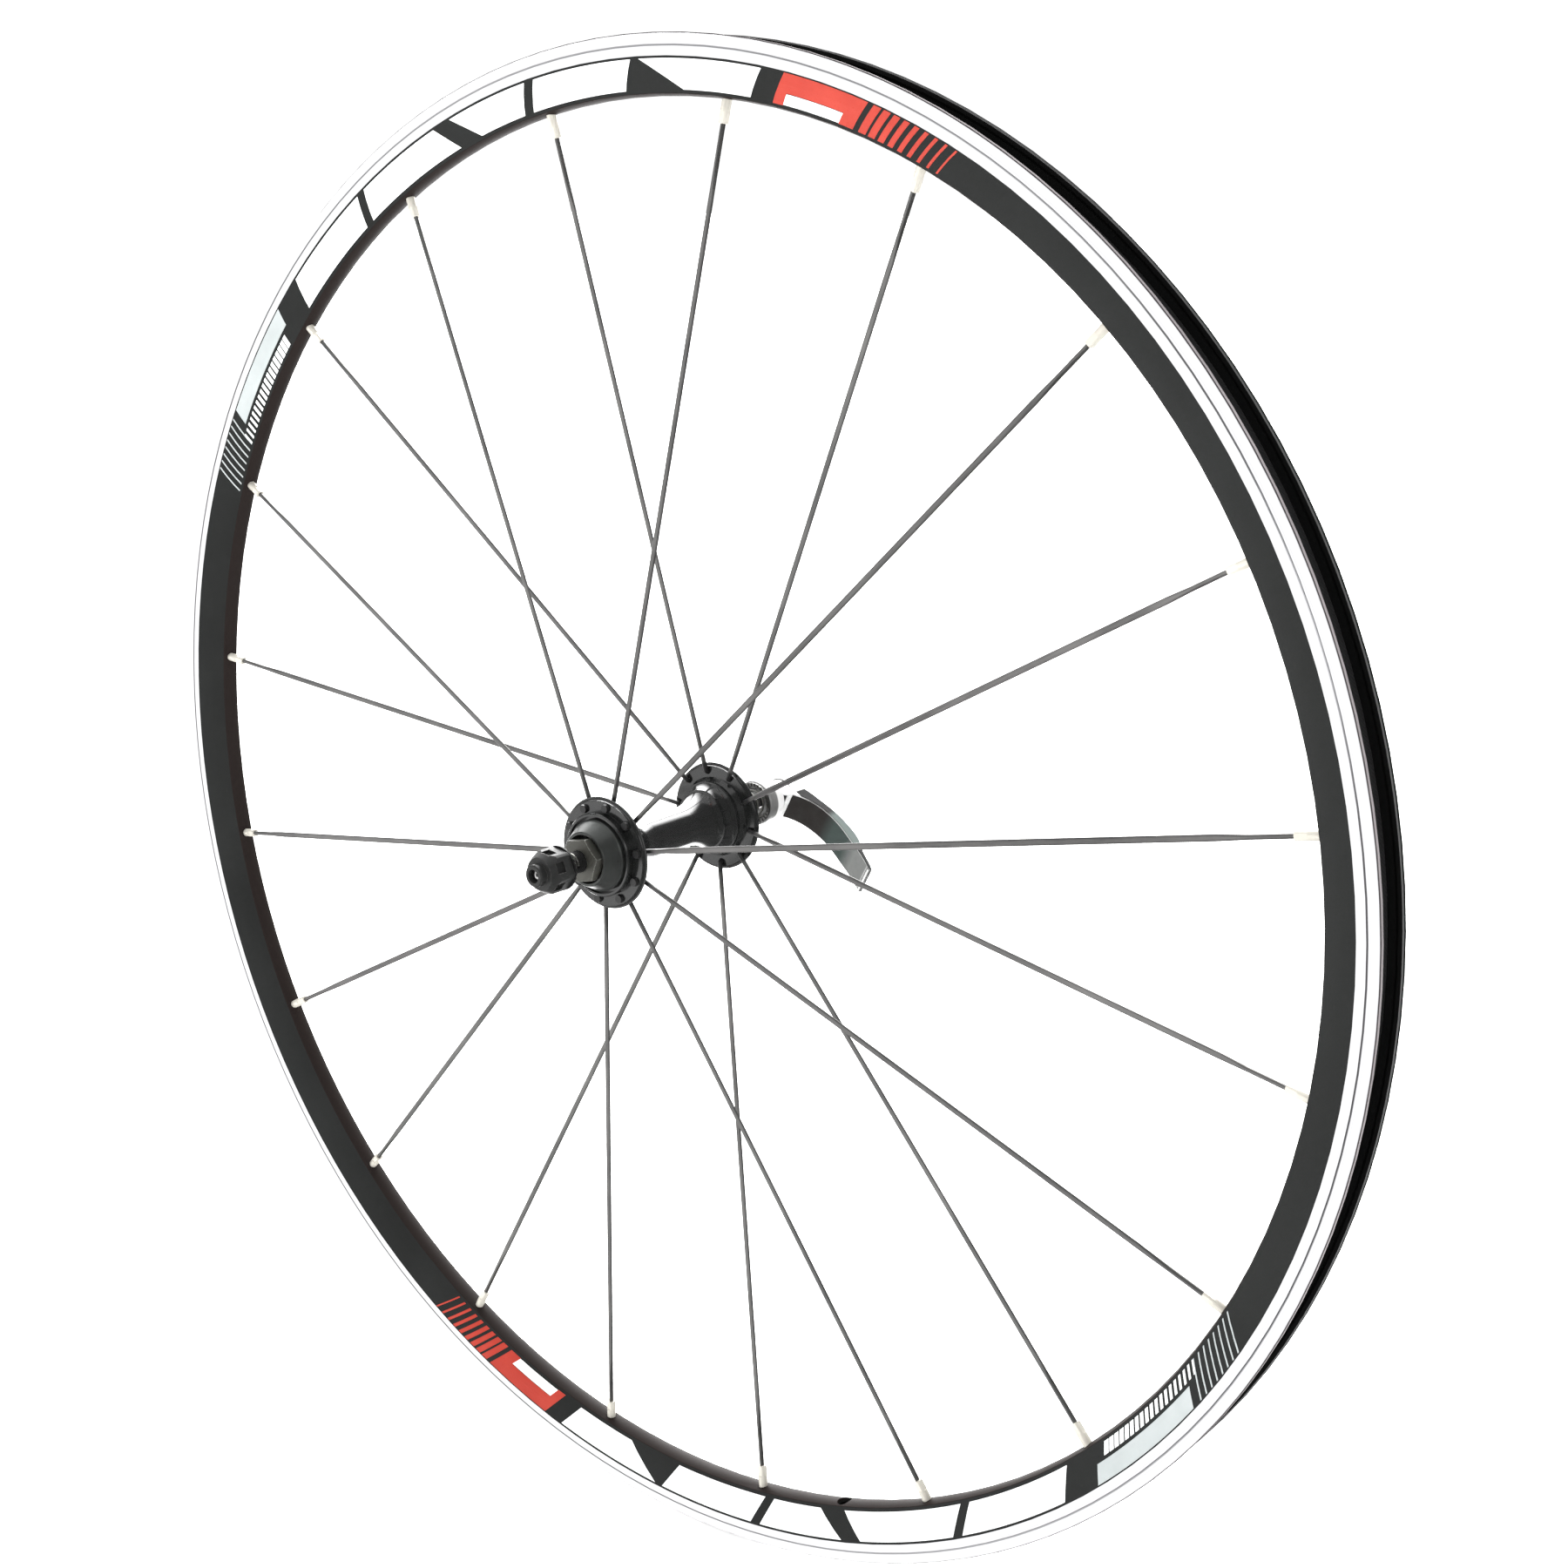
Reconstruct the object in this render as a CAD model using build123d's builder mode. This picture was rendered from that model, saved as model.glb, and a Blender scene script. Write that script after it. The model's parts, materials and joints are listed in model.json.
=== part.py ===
"""Front wheel of a road bicycle, without its tyre, with its quick-release skewer.

Millimetres. The origin is the wheel's centre, +Y is the spin axis and +Z is up.
The skewer's nut is on the -Y side and its cam lever on the +Y side.
"""

import os
from math import atan2, cos, degrees, radians, sin

from build123d import *

os.makedirs("parts", exist_ok=True)

# ------------------------------------------------------------ driving dimensions
# Names ending in _r are distances from the spin axis, or radii of round details.
# Names ending in _half or _out are distances from the wheel's mid plane.

# Rim: an ISO 622 clincher.
rim_r = 317.0
rim_half = 9.75
rim_corner = 0.4
track_inner_r = 308.7
wear_groove_r = 312.4
wear_groove_depth = 0.3
wear_groove_half_width = 0.35
bed_r = 294.4
bed_edge_r = 295.3
bed_edge_half = 3.9
sidewall_bulge = 0.35
hook_half = 7.5
hook_lip_r = 315.2
hook_root_r = 314.2
wall_inner_half = 8.15
bead_seat_r = 310.8
seat_inner_r = 310.4
seat_inner_half = 5.2
well_edge_r = 307.0
well_edge_half = 3.6
well_r = 306.6
well_half = 3.0

# Hollow chamber between the spoke bed and the tyre well.
chamber_top_r = 305.3
chamber_top_half = 3.3
chamber_shoulder_r = 308.0
chamber_shoulder_inner_half = 6.6
chamber_shoulder_outer_half = 7.3
chamber_corner_r = 297.8
chamber_corner_half = 3.35
chamber_floor_r = 296.5
chamber_floor_half = 3.0

# How far the cutters of a hole reach past the material.
cut_margin = 1.0

tape_gap = 0.15
tape_thickness = 0.5
sleeve_gap = 0.15
sleeve_arc = 9.0

# Spokes: ten on each flange, radial, the two sets half a step apart.
spokes_per_side = 10
spoke_step = 360 / spokes_per_side
nut_side_spoke_angle = 11.6
lever_side_spoke_angle = nut_side_spoke_angle + spoke_step / 2
valve_angle = nut_side_spoke_angle - 4.5 * spoke_step / 2
valve_hole_r = 3.25

spoke_r = 1.0
spoke_circle_r = 19.75
spoke_corner_out = 32.6
spoke_tip_r = 299.5
blade_width = 2.6
blade_thickness = 1.0
blade_inner_r = 34.0
blade_outer_r = 264.0
blade_taper = 12.0
elbow_r = 1.3
spoke_head_r = 1.9
spoke_head_thickness = 1.2
spoke_head_taper = 12.0

nipple_r = 1.95
nipple_bore_r = 1.03
nipple_head_r = 2.6
nipple_head_height = 2.6
nipple_head_taper = 15.0
nipple_head_inner_r = 297.1
nipple_end_r = 285.6
nipple_flats = 3.3
nipple_flats_length = 4.6
nipple_hole_r = 2.2
access_hole_r = 4.3

# Hub shell, the same on both sides.
barrel_r = 8.6
barrel_half = 12.0
flare_r = 12.4
flare_out = 25.0
ridge_r = 13.2
ridge_out = 25.9
bell_r = 15.3
bell_out = 30.4
bell_slope = 0.25
collar_r = 15.9
collar_out = 31.6
flange_root_r = 17.4
flange_r = 23.5
flange_inner_out = 33.7
flange_outer_out = 36.7
flange_edge_r = 1.4
boss_r = 17.5
boss_out = 40.0
boss_chamfer = 0.4
recess_r = 16.2
recess_out = 37.4
shell_bore_r = 6.2
cup_seat_out = 29.9
spoke_hole_r = 1.15

# Cup-and-cone bearings.
cup_r = 12.0
cup_inner_r = 7.2
cup_inner_out = 30.0
cup_outer_out = 36.2
ball_r = 2.38
ball_count = 10
ball_circle_r = 8.4
ball_out = 34.2
race_r = 2.55
cage_inner_r = 8.9
cage_outer_r = 10.5
cage_inner_out = 35.5
cage_outer_out = 36.3
cone_body_r = 7.9
cone_race_out = 32.2
cone_shoulder_out = 38.4
cone_chamfer = 0.5
cone_outer_out = 44.5
cone_flats_out = 41.6
cone_flats_half = 6.5
seal_inner_r = 8.2
seal_inner_out = 39.2
seal_outer_out = 40.8

# Dust cap.
cap_spigot_r = 11.95
cap_spigot_inner_r = 11.0
cap_spigot_out = 36.4
cap_floor_out = 37.6
cap_floor_thickness = 0.6
cap_r = 15.0
cap_edge_out = 41.0
cap_edge_chamfer = 0.5
cap_nose_r = 11.4
cap_nose_out = 47.3
cap_nose_chamfer = 0.3
cap_bore_r = 10.2

# Axle, washers and locknuts: the locknut faces are 101 mm apart.
axle_r = 4.5
axle_bore_r = 2.8
axle_out = 54.0
thread_end_chamfer = 0.4
thread_gap = 0.03
face_gap = 0.05
washer_r = 8.3
washer_outer_out = 46.0
locknut_flats = 17.0
locknut_vertex_angle = 13.4
locknut_outer_out = 50.5
locknut_face_r = 8.3
locknut_cone_r = 9.9
locknut_cone_height = 0.6

# Skewer rod, springs and clamping faces.
rod_r = 2.45
rod_nut_out = 74.5
rod_lever_out = 79.0
nut_face_out = 61.0
cradle_face_out = 59.5
clamp_ring_r = 9.2
clamp_ring_inner_r = 7.7
clamp_ring_thickness = 0.95
clamp_teeth = 30
clamp_tooth_depth = 0.35
clamp_tooth_gap = 0.7
spring_wire_r = 0.5
spring_small_r = 3.9
spring_large_r = 6.7
spring_turns = 3
spring_foot_out = axle_out + spring_wire_r + face_gap
spring_top_out = 62.1
spring_recess_r = 7.6
spring_recess_floor_out = 62.7

# Skewer nut: a hexagon turned down to a cone and a round tip.
nut_base_out = nut_face_out + clamp_ring_thickness + face_gap
nut_flats = 16.4
nut_corner_r = 9.1
nut_shoulder_out = 69.0
nut_neck_out = 73.0
nut_neck_r = 6.8
nut_tip_out = 76.4
nut_tip_r = 4.6
nut_tip_chamfer = 0.5
nut_tip_hole_r = 2.8
nut_flat_angle = 23.7
grip_pocket_width = 4.4
grip_pocket_length = 4.4
grip_pocket_depth = 1.4
grip_pocket_out = 68.2
insert_r = 4.1
insert_inner_out = 63.5
insert_outer_out = 72.5
insert_bore_r = 2.5

# Cam lever and its cradle. "s" runs along the lever from the hinge, "rise" away from the wheel.
lever_angle = -26.0
hinge_out = 76.0
cam_r = 7.5
cam_offset = 0.5
lever_half_width = 6.8
lever_tip_half_width = 6.4
lever_tip_s = 60.0
lever_edge = 0.6
lever_inner_curve = [
    (5.0, -4.6),
    (8.6, 0.8),
    (14.0, 4.4),
    (23.0, 6.0),
    (32.0, 4.8),
    (42.0, 1.4),
    (52.0, -2.4),
    (59.0, -6.2),
]
lever_tip_point = (60.4, -6.2)
lever_outer_curve = [
    (60.8, -5.0),
    (56.2, -2.0),
    (51.8, 0.3),
    (47.5, 3.2),
    (43.0, 6.4),
    (36.0, 9.0),
    (24.0, 10.8),
    (14.0, 10.2),
    (6.0, 8.8),
    (0.0, 7.0),
]
lever_outer_tangents = [(-1, 0.8), (-1, 0)]
fork_slot_half = 2.9
fork_web_s = 3.2
pin_r = 4.0
pin_half = 6.2
pin_chamfer = 0.4
pin_fit = 0.05
cradle_r = 9.8
cradle_outer_out = 70.0
cradle_chamfer = 0.5
cradle_bore_r = 3.0
trough_r = 8.8
trough_gap = 0.45

# ------------------------------------------------------------ directions and planes

lever_direction = Vector(cos(radians(lever_angle)), 0, sin(radians(lever_angle)))
hinge_direction = Vector(-sin(radians(lever_angle)), 0, cos(radians(lever_angle)))
lever_plane = Plane(
    origin=(0, hinge_out, 0), x_dir=lever_direction, z_dir=hinge_direction
)

# On each side's plane the normal points away from the wheel, and x stays +X.
nut_side_plane = Plane.XZ
lever_side_plane = Plane(origin=(0, 0, 0), x_dir=(1, 0, 0), z_dir=(0, 1, 0))
sides = (
    ("nut_side", -1, nut_side_plane, nut_side_spoke_angle),
    ("lever_side", 1, lever_side_plane, -lever_side_spoke_angle),
)


def radial_plane(angle):
    """The plane through the axis whose normal points along a radius of the wheel."""
    direction = (cos(radians(angle)), 0, sin(radians(angle)))
    return Plane(origin=(0, 0, 0), x_dir=(0, 1, 0), z_dir=direction)


def section_plane(angle):
    """The plane that holds the spin axis and a radius: x is the radius, y is +Y."""
    c, s = cos(radians(angle)), sin(radians(angle))
    return Plane(origin=(0, 0, 0), x_dir=(c, 0, s), z_dir=(-s, 0, c))


def spoke_frame(side, angle):
    """A spoke's plane: origin at its elbow's corner, x along the tangent, normal along the spoke."""
    c, s = cos(radians(angle)), sin(radians(angle))
    corner = Vector(spoke_circle_r * c, side * spoke_corner_out, spoke_circle_r * s)
    seat = Vector(bed_r * c, 0, bed_r * s)
    return Plane(origin=corner, x_dir=(-s, 0, c), z_dir=seat - corner)


def along_spoke(r):
    """The distance along a spoke from its elbow's corner to a distance from the axis."""
    slope = spoke_corner_out / (bed_r - spoke_circle_r)
    return (r - spoke_circle_r) * (1 + slope**2) ** 0.5


def both_halves(half_section):
    """A closed outline from the points of its +Y half, given from one end to the other."""
    return half_section + [(r, -out) for r, out in reversed(half_section)]


def on_side(side, points):
    """Points given as (r, out), on the chosen side of the mid plane."""
    return [(r, side * out) for r, out in points]


# ------------------------------------------------------------ rim, sleeve and tape

sidewall_middle_r = (track_inner_r + bed_edge_r) / 2 - sidewall_bulge
sidewall_middle_half = (rim_half + bed_edge_half) / 2 + sidewall_bulge

well_section = [
    (bead_seat_r, wall_inner_half),
    (seat_inner_r, seat_inner_half),
    (well_edge_r, well_edge_half),
    (well_r, well_half),
]
wall_section = [
    (track_inner_r, rim_half),
    (wear_groove_r - wear_groove_half_width, rim_half),
    (wear_groove_r, rim_half - wear_groove_depth),
    (wear_groove_r + wear_groove_half_width, rim_half),
    (rim_r - rim_corner, rim_half),
    (rim_r, rim_half - rim_corner),
    (rim_r, hook_half + rim_corner),
    (rim_r - rim_corner, hook_half),
    (hook_lip_r, hook_half),
    (hook_root_r, wall_inner_half),
]
chamber_section = [
    (chamber_top_r, chamber_top_half),
    (chamber_shoulder_r, chamber_shoulder_inner_half),
    (chamber_shoulder_r, chamber_shoulder_outer_half),
    (chamber_corner_r, chamber_corner_half),
    (chamber_floor_r, chamber_floor_half),
]

with BuildPart() as rim:
    with BuildSketch(Plane.XY):
        with BuildLine():
            for side in (1, -1):
                ThreePointArc(
                    (bed_edge_r, side * bed_edge_half),
                    (sidewall_middle_r, side * sidewall_middle_half),
                    (track_inner_r, side * rim_half),
                )
                Polyline(*on_side(side, wall_section + well_section))
            Line((well_r, well_half), (well_r, -well_half))
            ThreePointArc(
                (bed_edge_r, bed_edge_half), (bed_r, 0), (bed_edge_r, -bed_edge_half)
            )
        make_face()
        with BuildLine():
            Polyline(*both_halves(chamber_section), close=True)
        make_face(mode=Mode.SUBTRACT)
    revolve(axis=Axis.Y)
    for side, first_angle in ((-1, nut_side_spoke_angle), (1, lever_side_spoke_angle)):
        for k in range(spokes_per_side):
            angle = first_angle + k * spoke_step
            nipple_hole_start = along_spoke(bed_r - 2 * cut_margin)
            with BuildSketch(spoke_frame(side, angle).offset(nipple_hole_start)):
                Circle(nipple_hole_r)
            extrude(amount=chamber_floor_r - bed_r + 3 * cut_margin, mode=Mode.SUBTRACT)
            with BuildSketch(radial_plane(angle).offset(chamber_top_r - cut_margin)):
                Circle(access_hole_r)
            extrude(amount=rim_r - chamber_top_r, mode=Mode.SUBTRACT)
    with BuildSketch(radial_plane(valve_angle).offset(bed_r - cut_margin)):
        Circle(valve_hole_r)
    extrude(amount=rim_r - bed_r, mode=Mode.SUBTRACT)
rim.part.label = "rim"
export_step(rim.part, "parts/rim.step")

with BuildPart() as rim_joint_sleeve:
    with BuildSketch(section_plane(valve_angle + 180 + sleeve_arc / 2)):
        with BuildLine():
            Polyline(*both_halves(chamber_section), close=True)
        make_face()
        offset(amount=-sleeve_gap)
    revolve(axis=Axis.Y, revolution_arc=sleeve_arc)
rim_joint_sleeve.part.label = "rim_joint_sleeve"
export_step(rim_joint_sleeve.part, "parts/rim_joint_sleeve.step")

tape_low = [
    (bead_seat_r + tape_gap, wall_inner_half - 2 * tape_gap),
    (seat_inner_r + tape_gap, seat_inner_half - tape_gap),
    (well_edge_r + tape_gap, well_edge_half - tape_gap),
    (well_r + tape_gap, well_half),
]

with BuildPart() as rim_tape:
    with BuildSketch(Plane.XY):
        with BuildLine():
            low = both_halves(tape_low)
            high = [(r + tape_thickness, out) for r, out in reversed(low)]
            Polyline(*low, *high, close=True)
        make_face()
    revolve(axis=Axis.Y)
    with BuildSketch(radial_plane(valve_angle).offset(well_r)):
        Circle(valve_hole_r)
    extrude(amount=rim_r - well_r, mode=Mode.SUBTRACT)
rim_tape.part.label = "rim_tape"
export_step(rim_tape.part, "parts/rim_tape.step")

# ------------------------------------------------------------ spokes and nipples
# One spoke and one nipple are made in the plane of a side, with the radius along x and z outwards.

spoke_corner = Vector(spoke_circle_r, 0, spoke_corner_out)
spoke_direction = (Vector(bed_r, 0, 0) - spoke_corner).normalized()
spoke_plane = Plane(origin=spoke_corner, x_dir=(0, 1, 0), z_dir=spoke_direction)


blade_start = along_spoke(blade_inner_r)
blade_finish = along_spoke(blade_outer_r)

with BuildPart() as spoke:
    with BuildLine() as elbow:
        FilletPolyline(
            (spoke_circle_r, 0, flange_outer_out + spoke_head_thickness / 2),
            spoke_corner,
            spoke_corner + spoke_direction * (blade_start - blade_taper / 2),
            radius=elbow_r,
        )
    with BuildSketch(Plane.XY.offset(flange_outer_out + spoke_head_thickness / 2)):
        with Locations((spoke_circle_r, 0)):
            Circle(spoke_r)
    sweep(path=elbow.line)
    with BuildSketch(Plane.XY.offset(flange_outer_out + face_gap)):
        with Locations((spoke_circle_r, 0)):
            Circle(spoke_head_r)
    extrude(amount=spoke_head_thickness, taper=spoke_head_taper)
    with BuildSketch(spoke_plane.offset(blade_start - blade_taper / 2)):
        Circle(spoke_r)
    with BuildSketch(spoke_plane.offset(blade_start + blade_taper / 2)):
        Ellipse(blade_width / 2, blade_thickness / 2)
    loft()
    with BuildSketch(spoke_plane.offset(blade_start + blade_taper / 2)):
        Ellipse(blade_width / 2, blade_thickness / 2)
    extrude(amount=blade_finish - blade_start - blade_taper)
    with BuildSketch(spoke_plane.offset(blade_finish - blade_taper / 2)):
        Ellipse(blade_width / 2, blade_thickness / 2)
    with BuildSketch(spoke_plane.offset(blade_finish + blade_taper / 2)):
        Circle(spoke_r)
    loft()
    with BuildSketch(spoke_plane.offset(blade_finish + blade_taper / 2)):
        Circle(spoke_r)
    extrude(amount=along_spoke(spoke_tip_r) - blade_finish - blade_taper / 2)

nipple_start = along_spoke(nipple_end_r)
head_start = along_spoke(nipple_head_inner_r)

with BuildPart() as nipple:
    with BuildSketch(spoke_plane.offset(nipple_start)):
        Circle(nipple_r)
    extrude(amount=head_start - nipple_start)
    with BuildSketch(spoke_plane.offset(nipple_start)):
        Circle(2 * nipple_r)
        Rectangle(nipple_flats, nipple_flats, mode=Mode.SUBTRACT)
    extrude(amount=nipple_flats_length, mode=Mode.SUBTRACT)
    with BuildSketch(spoke_plane.offset(head_start)):
        Circle(nipple_head_r)
    extrude(amount=nipple_head_height, taper=nipple_head_taper)
    with BuildSketch(spoke_plane.offset(nipple_start)):
        Circle(nipple_bore_r)
    extrude(amount=along_spoke(rim_r) - nipple_start, mode=Mode.SUBTRACT)

for name, _, plane, first_angle in sides:
    with BuildPart(plane) as spokes:
        with PolarLocations(0, spokes_per_side, start_angle=first_angle):
            add(spoke.part)
    spokes.part.label = f"spokes_{name}"
    export_step(spokes.part, f"parts/spokes_{name}.step")

with BuildPart() as nipples:
    for _, _, plane, first_angle in sides:
        with Locations(plane.location):
            with PolarLocations(0, spokes_per_side, start_angle=first_angle):
                add(nipple.part)
nipples.part.label = "nipples"
export_step(nipples.part, "parts/nipples.step")

# ------------------------------------------------------------ hub shell

with BuildPart() as hub_shell:
    with BuildSketch(Plane.XY):
        with BuildLine():
            for _, side, _, _ in sides:
                Line((barrel_r, 0), (barrel_r, side * barrel_half))
                TangentArc(
                    (barrel_r, side * barrel_half),
                    (flare_r, side * flare_out),
                    tangent=(0, side),
                )
                Polyline(
                    (flare_r, side * flare_out),
                    (ridge_r, side * flare_out),
                    (ridge_r, side * ridge_out),
                )
                TangentArc(
                    (ridge_r, side * ridge_out),
                    (bell_r, side * bell_out),
                    tangent=(bell_slope, side),
                )
                Polyline(
                    (bell_r, side * bell_out),
                    (collar_r, side * bell_out),
                    (collar_r, side * collar_out),
                    (flange_root_r, side * flange_inner_out),
                    (flange_r - flange_edge_r, side * flange_inner_out),
                )
                RadiusArc(
                    (flange_r - flange_edge_r, side * flange_inner_out),
                    (flange_r, side * (flange_inner_out + flange_edge_r)),
                    side * flange_edge_r,
                )
                Line(
                    (flange_r, side * (flange_inner_out + flange_edge_r)),
                    (flange_r, side * (flange_outer_out - flange_edge_r)),
                )
                RadiusArc(
                    (flange_r, side * (flange_outer_out - flange_edge_r)),
                    (flange_r - flange_edge_r, side * flange_outer_out),
                    side * flange_edge_r,
                )
                Polyline(
                    (flange_r - flange_edge_r, side * flange_outer_out),
                    (boss_r, side * flange_outer_out),
                    (boss_r, side * (boss_out - boss_chamfer)),
                    (boss_r - boss_chamfer, side * boss_out),
                    (recess_r, side * boss_out),
                    (recess_r, side * recess_out),
                    (cup_r, side * recess_out),
                    (cup_r, side * cup_seat_out),
                    (shell_bore_r, side * cup_seat_out),
                    (shell_bore_r, 0),
                )
        make_face()
    revolve(axis=Axis.Y)
    for _, side, plane, first_angle in sides:
        with BuildSketch(plane.offset(flange_inner_out - cut_margin)):
            with PolarLocations(spoke_circle_r, spokes_per_side, first_angle):
                Circle(spoke_hole_r)
        drilled_length = flange_outer_out - flange_inner_out + 2 * cut_margin
        extrude(amount=drilled_length, mode=Mode.SUBTRACT)
hub_shell.part.label = "hub_shell"
export_step(hub_shell.part, "parts/hub_shell.step")

# ------------------------------------------------------------ bearings, axle and locknuts

race_middle = race_r / 2**0.5

for name, side, plane, _ in sides:
    with BuildPart() as cup:
        with BuildSketch(Plane.XY):
            with BuildLine():
                Polyline(
                    *on_side(
                        side,
                        [
                            (ball_circle_r, ball_out - race_r),
                            (cup_inner_r, ball_out - race_r),
                            (cup_inner_r, cup_inner_out),
                            (cup_r - thread_gap, cup_inner_out),
                            (cup_r - thread_gap, cup_outer_out),
                            (ball_circle_r + race_r, cup_outer_out),
                            (ball_circle_r + race_r, ball_out),
                        ],
                    )
                )
                ThreePointArc(
                    (ball_circle_r + race_r, side * ball_out),
                    (ball_circle_r + race_middle, side * (ball_out - race_middle)),
                    (ball_circle_r, side * (ball_out - race_r)),
                )
            make_face()
        revolve(axis=Axis.Y)
    cup.part.label = f"bearing_cup_{name}"
    export_step(cup.part, f"parts/bearing_cup_{name}.step")

    with BuildPart(plane) as balls:
        with Locations((0, 0, ball_out)):
            with PolarLocations(ball_circle_r, ball_count):
                Sphere(ball_r)
    balls.part.label = f"bearing_balls_{name}"
    export_step(balls.part, f"parts/bearing_balls_{name}.step")

    with BuildPart(plane) as cage:
        with BuildSketch(plane.offset(cage_inner_out)):
            Circle(cage_outer_r)
            Circle(cage_inner_r, mode=Mode.SUBTRACT)
        extrude(amount=cage_outer_out - cage_inner_out)
        with Locations((0, 0, ball_out)):
            with PolarLocations(ball_circle_r, ball_count):
                Sphere(ball_r + face_gap, mode=Mode.SUBTRACT)
    cage.part.label = f"ball_cage_{name}"
    export_step(cage.part, f"parts/ball_cage_{name}.step")

    with BuildPart(plane) as cone:
        with BuildSketch(Plane.XY):
            with BuildLine():
                Polyline(
                    *on_side(
                        side,
                        [
                            (ball_circle_r - race_r, ball_out),
                            (ball_circle_r - race_r, cone_race_out),
                            (axle_r + thread_gap, cone_race_out),
                            (axle_r + thread_gap, cone_outer_out),
                            (cone_body_r, cone_outer_out),
                            (cone_body_r, cone_shoulder_out + cone_chamfer),
                            (ball_circle_r, cone_shoulder_out),
                            (ball_circle_r, ball_out + race_r),
                        ],
                    )
                )
                ThreePointArc(
                    (ball_circle_r, side * (ball_out + race_r)),
                    (ball_circle_r - race_middle, side * (ball_out + race_middle)),
                    (ball_circle_r - race_r, side * ball_out),
                )
            make_face()
        revolve(axis=Axis.Y)
        with BuildSketch(plane.offset(cone_flats_out)):
            Circle(cone_body_r + cut_margin)
            Rectangle(2 * cone_flats_half, 4 * cone_body_r, mode=Mode.SUBTRACT)
        extrude(amount=cone_outer_out - cone_flats_out, mode=Mode.SUBTRACT)
    cone.part.label = f"bearing_cone_{name}"
    export_step(cone.part, f"parts/bearing_cone_{name}.step")

    with BuildPart() as seal:
        with BuildSketch(plane.offset(seal_inner_out)):
            Circle(cap_bore_r - face_gap)
            Circle(seal_inner_r, mode=Mode.SUBTRACT)
        extrude(amount=seal_outer_out - seal_inner_out)
    seal.part.label = f"bearing_seal_{name}"
    export_step(seal.part, f"parts/bearing_seal_{name}.step")

    with BuildPart() as cap:
        with BuildSketch(Plane.XY):
            with BuildLine():
                Polyline(
                    *on_side(
                        side,
                        [
                            (cap_spigot_inner_r, cap_spigot_out),
                            (cap_spigot_r, cap_spigot_out),
                            (cap_spigot_r, cap_floor_out),
                            (cap_r, cap_floor_out),
                            (cap_r, cap_edge_out - cap_edge_chamfer),
                            (cap_r - cap_edge_chamfer, cap_edge_out),
                            (cap_nose_r, cap_nose_out - cap_nose_chamfer),
                            (cap_nose_r - cap_nose_chamfer, cap_nose_out),
                            (cap_bore_r, cap_nose_out),
                            (cap_bore_r, cap_floor_out + cap_floor_thickness),
                            (cap_spigot_inner_r, cap_floor_out + cap_floor_thickness),
                        ],
                    ),
                    close=True,
                )
            make_face()
        revolve(axis=Axis.Y)
    cap.part.label = f"dust_cap_{name}"
    export_step(cap.part, f"parts/dust_cap_{name}.step")

    with BuildPart() as washer:
        with BuildSketch(plane.offset(cone_outer_out + face_gap)):
            Circle(washer_r)
            Circle(axle_r + thread_gap, mode=Mode.SUBTRACT)
        extrude(amount=washer_outer_out - cone_outer_out - face_gap)
    washer.part.label = f"lock_washer_{name}"
    export_step(washer.part, f"parts/lock_washer_{name}.step")

    with BuildPart() as locknut:
        with BuildSketch(plane.offset(washer_outer_out + face_gap)):
            RegularPolygon(
                locknut_flats / 2, 6, major_radius=False, rotation=locknut_vertex_angle
            )
            Circle(axle_r + thread_gap, mode=Mode.SUBTRACT)
        extrude(amount=locknut_outer_out - washer_outer_out - face_gap)
        with BuildSketch(Plane.XY):
            with BuildLine():
                Polyline(
                    *on_side(
                        side,
                        [
                            (0, washer_outer_out),
                            (locknut_flats, washer_outer_out),
                            (locknut_cone_r, locknut_outer_out - locknut_cone_height),
                            (locknut_face_r, locknut_outer_out),
                            (0, locknut_outer_out),
                        ],
                    ),
                    close=True,
                )
            make_face()
        revolve(axis=Axis.Y, mode=Mode.INTERSECT)
    locknut.part.label = f"locknut_{name}"
    export_step(locknut.part, f"parts/locknut_{name}.step")

with BuildPart() as hollow_axle:
    with BuildSketch(Plane.XZ):
        Circle(axle_r)
        Circle(axle_bore_r, mode=Mode.SUBTRACT)
    extrude(amount=axle_out, both=True)
    outer_edges = hollow_axle.edges().filter_by(GeomType.CIRCLE).sort_by(SortBy.RADIUS)[-2:]
    chamfer(outer_edges, thread_end_chamfer)
hollow_axle.part.label = "hollow_axle"
export_step(hollow_axle.part, "parts/hollow_axle.step")

# ------------------------------------------------------------ skewer

with BuildPart() as skewer_rod:
    with BuildSketch(Plane.XZ.offset(-rod_lever_out)):
        Circle(rod_r)
    extrude(amount=rod_lever_out + rod_nut_out)
    chamfer(skewer_rod.edges().filter_by(GeomType.CIRCLE), thread_end_chamfer)
skewer_rod.part.label = "skewer_rod"
export_step(skewer_rod.part, "parts/skewer_rod.step")

with BuildPart() as lever_barrel_pin:
    with BuildSketch(lever_plane):
        Circle(pin_r)
    extrude(amount=pin_half, both=True)
    chamfer(lever_barrel_pin.edges().filter_by(GeomType.CIRCLE), pin_chamfer)
    with BuildSketch(Plane.XZ.offset(-rod_lever_out - pin_r)):
        Circle(rod_r + pin_fit)
    extrude(amount=4 * pin_r, mode=Mode.SUBTRACT)
lever_barrel_pin.part.label = "lever_barrel_pin"
export_step(lever_barrel_pin.part, "parts/lever_barrel_pin.step")

with BuildPart() as spring_wire:
    with BuildLine() as coil:
        Helix(
            pitch=(spring_top_out - spring_foot_out) / spring_turns,
            height=spring_top_out - spring_foot_out,
            radius=spring_small_r,
            cone_angle=degrees(
                atan2(
                    spring_large_r - spring_small_r,
                    spring_top_out - spring_foot_out,
                )
            ),
        )
    with BuildSketch(Plane(origin=coil.line @ 0, z_dir=coil.line % 0)):
        Circle(spring_wire_r)
    sweep(path=coil.line)

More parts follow.
